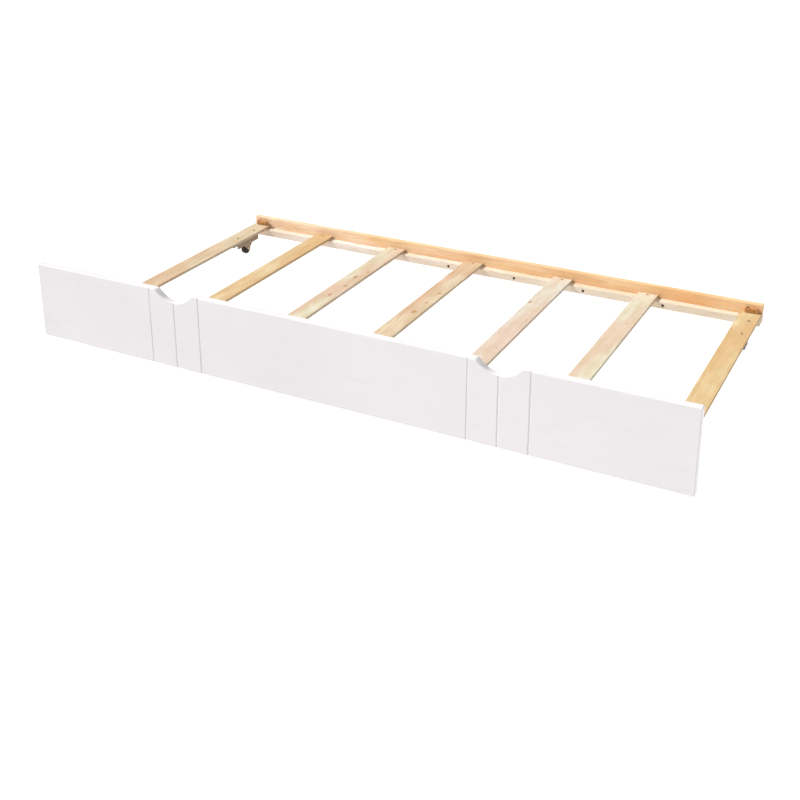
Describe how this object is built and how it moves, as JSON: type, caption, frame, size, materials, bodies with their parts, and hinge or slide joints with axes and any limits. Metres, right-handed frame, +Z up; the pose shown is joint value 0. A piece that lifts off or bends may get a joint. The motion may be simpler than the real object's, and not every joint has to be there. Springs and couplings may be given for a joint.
{
  "type": "trundle bed",
  "caption": "Low roll-out bed frame: white front panel with finger notches, pine slats across cleats, a pine rear rail, and rigid plate casters under the end slats.",
  "frame": {"origin": "on the floor under the centre of the bed's bounding box", "axes": "+X along the bed, -Y towards the front panel, +Z up"},
  "size_m": [1.93, 1.052, 0.254],
  "materials": {
    "white_paint": "satin white paint on smooth board",
    "rail_pine": "planed orange pine, clear satin lacquer",
    "cleat_pine": "planed whitish pine, unfinished",
    "slat_pine": "planed pale pine with knots, unfinished",
    "dark_screw": "dark phosphated screw",
    "brown_plastic": "moulded brown plastic",
    "brass_screw": "yellow plated screw",
    "bracket_steel": "brown-grey enamelled pressed steel",
    "zinc_steel": "bright zinc plate",
    "wheel_nylon": "black moulded nylon",
    "tread_rubber": "black rubber"
  },
  "bodies": {
    "frame": {"front_panel": "white_paint", "rear_rail": "rail_pine", "front_cleat": "cleat_pine", "rear_cleat": "cleat_pine", "slat_1": "slat_pine", "slat_2": "slat_pine", "slat_3": "slat_pine", "slat_4": "slat_pine", "slat_5": "slat_pine", "slat_6": "slat_pine", "slat_7": "slat_pine", "slat_screw_front_2": "brass_screw", "slat_screw_front_3": "brass_screw", "slat_screw_front_4": "brass_screw", "slat_screw_front_5": "brass_screw", "slat_screw_front_6": "brass_screw", "slat_screw_rear_2": "brass_screw", "slat_screw_rear_3": "brass_screw", "slat_screw_rear_4": "brass_screw", "slat_screw_rear_5": "brass_screw", "slat_screw_rear_6": "brass_screw", "corner_block_front_left": "brown_plastic", "corner_screw_down_front_left": "dark_screw", "corner_screw_back_front_left": "brass_screw", "caster_bracket_front_left": "bracket_steel", "caster_axle_front_left": "zinc_steel", "caster_bolt_front_left_1": "zinc_steel", "caster_bolt_front_left_2": "zinc_steel", "corner_block_front_right": "brown_plastic", "corner_screw_down_front_right": "dark_screw", "corner_screw_back_front_right": "brass_screw", "caster_bracket_front_right": "bracket_steel", "caster_axle_front_right": "zinc_steel", "caster_bolt_front_right_1": "zinc_steel", "caster_bolt_front_right_2": "zinc_steel", "corner_block_rear_left": "brown_plastic", "corner_screw_down_rear_left": "dark_screw", "corner_screw_back_rear_left": "brass_screw", "caster_bracket_rear_left": "bracket_steel", "caster_axle_rear_left": "zinc_steel", "caster_bolt_rear_left_1": "zinc_steel", "caster_bolt_rear_left_2": "zinc_steel", "corner_block_rear_right": "brown_plastic", "corner_screw_down_rear_right": "dark_screw", "corner_screw_back_rear_right": "brass_screw", "caster_bracket_rear_right": "bracket_steel", "caster_axle_rear_right": "zinc_steel", "caster_bolt_rear_right_1": "zinc_steel", "caster_bolt_rear_right_2": "zinc_steel"},
    "wheel_front_left": {"caster_wheel_front_left": "wheel_nylon", "caster_tread_front_left": "tread_rubber"},
    "wheel_front_right": {"caster_wheel_front_right": "wheel_nylon", "caster_tread_front_right": "tread_rubber"},
    "wheel_rear_left": {"caster_wheel_rear_left": "wheel_nylon", "caster_tread_rear_left": "tread_rubber"},
    "wheel_rear_right": {"caster_wheel_rear_right": "wheel_nylon", "caster_tread_rear_right": "tread_rubber"}
  },
  "joints": [
    {"name": "wheel_spin_front_left", "type": "hinge", "parent": "frame", "child": "wheel_front_left", "pos_m": [-0.8685, -0.379, 0.01891], "axis": [1, 0, 0], "continuous": true},
    {"name": "wheel_spin_front_right", "type": "hinge", "parent": "frame", "child": "wheel_front_right", "pos_m": [0.8805, -0.379, 0.01891], "axis": [1, 0, 0], "continuous": true},
    {"name": "wheel_spin_rear_left", "type": "hinge", "parent": "frame", "child": "wheel_rear_left", "pos_m": [-0.8685, 0.381, 0.01891], "axis": [1, 0, 0], "continuous": true},
    {"name": "wheel_spin_rear_right", "type": "hinge", "parent": "frame", "child": "wheel_rear_right", "pos_m": [0.8805, 0.381, 0.01891], "axis": [1, 0, 0], "continuous": true}
  ]
}
